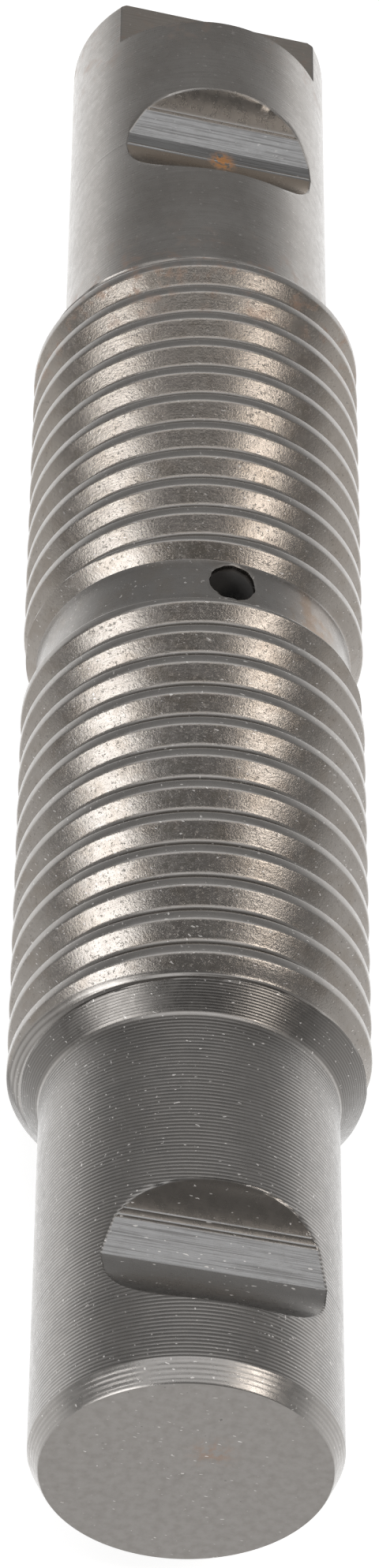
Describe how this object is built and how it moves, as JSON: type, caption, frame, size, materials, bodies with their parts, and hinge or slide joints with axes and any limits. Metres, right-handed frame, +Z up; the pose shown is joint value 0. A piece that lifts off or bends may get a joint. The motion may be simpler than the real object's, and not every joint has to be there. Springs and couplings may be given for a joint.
{
  "type": "threaded leaf spring pin",
  "caption": "Steel leaf-spring pin: long right-hand thread with a grease neck, plain notched ends, wrench flats and a grease fitting.",
  "frame": {"origin": "on the surface the pin lies on, under the middle of its whole length with the fitting", "axes": "+Y along the pin from the blank end to the end with the fitting, +Z up, with the bolt notches and the grease outlet facing +Z"},
  "size_m": [0.035, 0.203, 0.0349],
  "materials": {
    "machined_steel": "turned and hardened, oiled, fine feed marks",
    "plated_steel": "zinc plated, satin",
    "ball_steel": "ground and polished",
    "spring_steel": "drawn wire"
  },
  "bodies": {
    "pin": {"threaded_pin": "machined_steel", "grease_fitting": "plated_steel", "check_spring": "spring_steel"},
    "check_ball": {"check_ball": "ball_steel"}
  },
  "joints": [
    {"name": "check_ball_slide", "type": "slide", "parent": "pin", "child": "check_ball", "axis": [0, -1, 0], "range_m": [0, 0.001], "stiffness_N_per_m": 400, "springref_m": -0.001, "deforming": ["check_spring"]}
  ]
}
